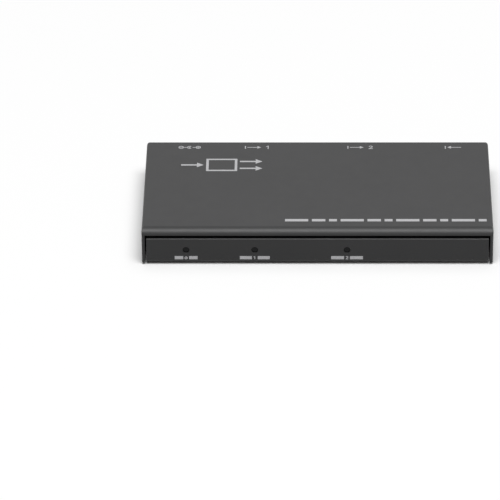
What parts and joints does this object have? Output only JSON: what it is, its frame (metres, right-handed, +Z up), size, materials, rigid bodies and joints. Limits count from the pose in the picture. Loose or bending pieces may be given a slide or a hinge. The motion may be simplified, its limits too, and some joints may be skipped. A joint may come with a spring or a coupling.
{
  "type": "video splitter",
  "caption": "Slim folded-metal box that copies one digital video input to several outputs, with sockets and a power jack at the rear, front indicator lights and rubber feet.",
  "frame": {"origin": "middle of the footprint, on the surface that the rubber feet stand on", "axes": "+X to the right seen from the front, +Y towards the rear with the sockets, +Z up"},
  "size_m": [0.115, 0.058, 0.013],
  "materials": {
    "case_coat": "fine matte charcoal coat",
    "black_screw": "black oxide",
    "foot_rubber": "matte",
    "board": "solder mask over glass laminate",
    "standoff_brass": "turned",
    "screw_steel": "zinc plated",
    "shell_steel": "nickel plated sheet",
    "contact_gold": "gold plated",
    "black_plastic": "moulded",
    "light_pipe": "smoky clear moulding",
    "lamp": "white moulding, unlit",
    "chip_mould": "moulded epoxy",
    "lead_tin": "tin plated",
    "pad": "soft silicone",
    "sink_metal": "dark anodised",
    "can_metal": "satin can",
    "ferrite": "matte",
    "chip_ceramic": "matte"
  },
  "bodies": {
    "root": {"top_cover": "case_coat", "base_tray": "case_coat", "cover_screws": "black_screw", "rubber_feet": "foot_rubber", "main_board": "board", "board_standoffs": "standoff_brass", "board_screws": "screw_steel", "output_1_shell": "shell_steel", "output_1_insulator": "black_plastic", "output_1_contacts": "contact_gold", "output_2_shell": "shell_steel", "output_2_insulator": "black_plastic", "output_2_contacts": "contact_gold", "input_shell": "shell_steel", "input_insulator": "black_plastic", "input_contacts": "contact_gold", "power_jack_housing": "black_plastic", "power_jack_pin": "shell_steel", "power_jack_spring": "shell_steel", "power_light_pipe": "light_pipe", "output_1_light_pipe": "light_pipe", "output_2_light_pipe": "light_pipe", "power_lamp": "lamp", "output_1_lamp": "lamp", "output_2_lamp": "lamp", "splitter_chip": "chip_mould", "splitter_chip_leads": "lead_tin", "thermal_pad": "pad", "heat_sink": "sink_metal", "memory_chip": "chip_mould", "memory_chip_leads": "lead_tin", "clock_crystal": "screw_steel", "voltage_regulator": "chip_mould", "regulator_leads": "lead_tin", "power_inductor": "ferrite", "storage_capacitors": "can_metal", "capacitor_bases": "black_plastic", "surge_arrays": "chip_mould", "chip_capacitors": "chip_ceramic", "chip_resistors": "chip_mould"}
  },
  "joints": []
}
